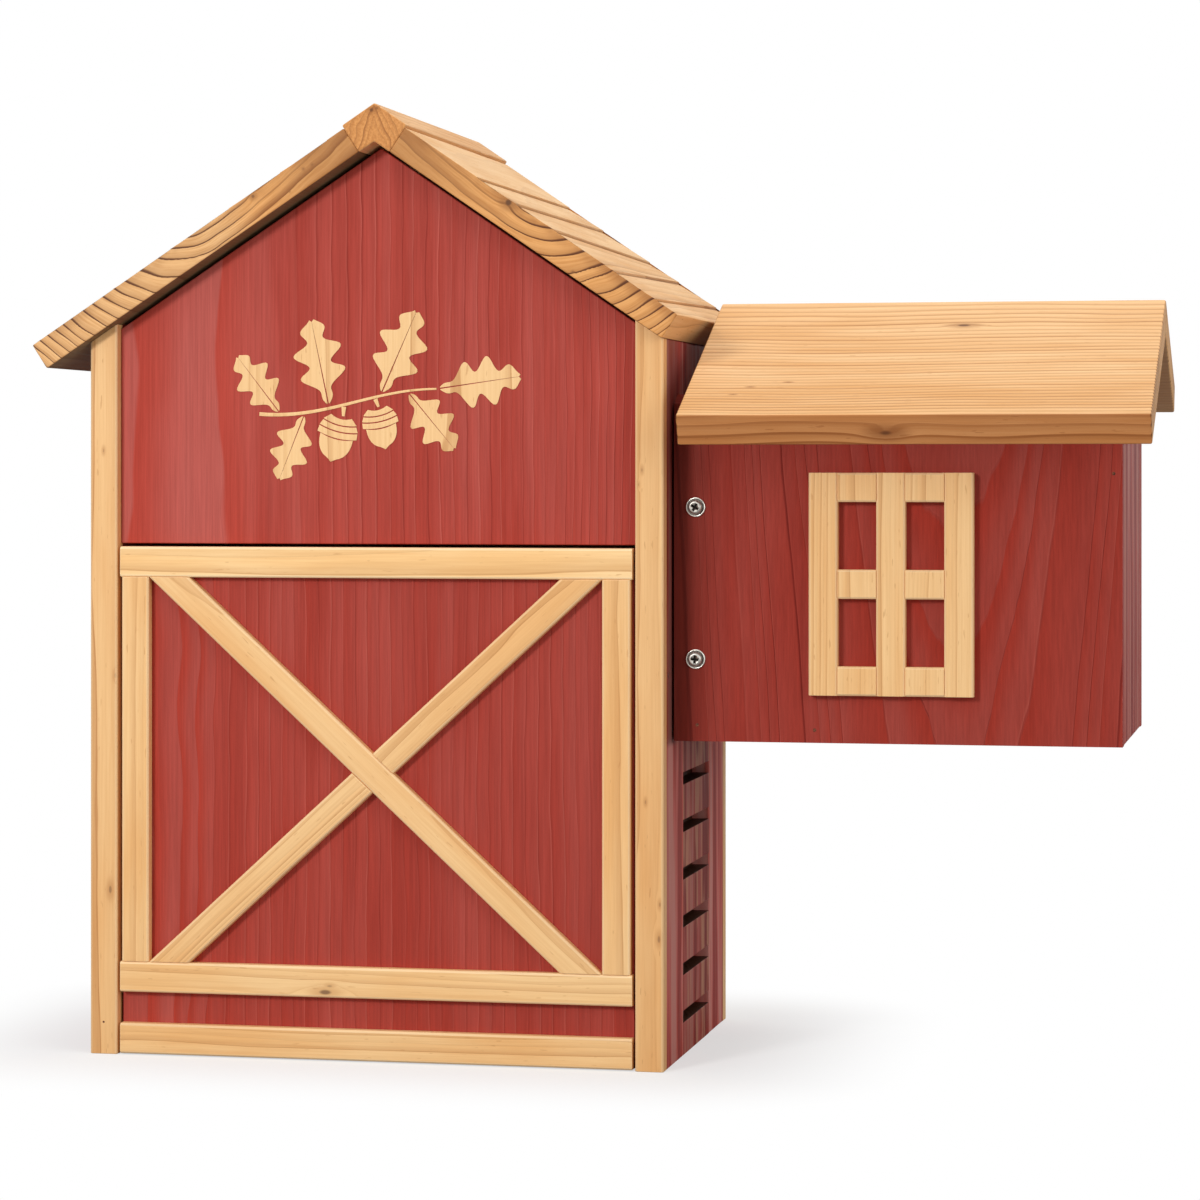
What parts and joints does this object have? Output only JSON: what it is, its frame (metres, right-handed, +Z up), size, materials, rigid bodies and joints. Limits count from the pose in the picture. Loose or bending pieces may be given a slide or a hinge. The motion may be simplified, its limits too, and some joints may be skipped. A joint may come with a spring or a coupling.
{
  "type": "squirrel house",
  "caption": "Gabled wooden nest box for squirrels with a swing-out front, a grooved climbing wall and a roofed side porch.",
  "frame": {"origin": "centre of the main house's base, at the ground and midway between the corner posts' front and the back board's back", "axes": "+Z up, -Y out of the front, +X towards the porch"},
  "size_m": [0.6279, 0.272, 0.5334],
  "materials": {
    "red_stain": "barn red stain with the grain showing",
    "pine": "planed natural pine",
    "cedar": "natural roof board with raised grain",
    "steel": "plain steel"
  },
  "bodies": {
    "house": {"nest_floor": "pine", "back_board": "pine", "left_wall": "red_stain", "right_wall_front_board": "red_stain", "right_wall_rear_board": "red_stain", "ladder_board": "red_stain", "doorway_lintel": "red_stain", "gable_panel": "red_stain", "left_corner_post": "pine", "right_corner_post": "pine", "roof_left_board": "cedar", "roof_right_board": "cedar", "ridge_cap": "cedar", "ridge_batten": "pine", "left_pivot_pin": "steel", "right_pivot_pin": "steel", "porch_front_wall": "red_stain", "porch_back_wall": "red_stain", "porch_end_wall": "red_stain", "porch_floor": "pine", "porch_roof_front_board": "cedar", "porch_roof_back_board": "cedar", "porch_front_cleat": "pine", "porch_back_cleat": "pine", "window_left_stile": "pine", "window_middle_stile": "pine", "window_right_stile": "pine", "window_left_top_rail": "pine", "window_left_middle_rail": "pine", "window_left_bottom_rail": "pine", "window_right_top_rail": "pine", "window_right_middle_rail": "pine", "window_right_bottom_rail": "pine", "porch_screws": "steel", "porch_screw_washers": "steel"},
    "door": {"door_panel": "red_stain", "door_top_rail": "pine", "door_bottom_rail": "pine", "door_kick_board": "pine", "door_left_stile": "pine", "door_right_stile": "pine", "door_long_brace": "pine", "door_upper_brace": "pine", "door_lower_brace": "pine"}
  },
  "joints": [
    {"name": "door_swing", "type": "hinge", "parent": "house", "child": "door", "pos_m": [0, -0.0866, 0.2168], "axis": [-1, 0, 0], "range_deg": [0, 110]}
  ]
}
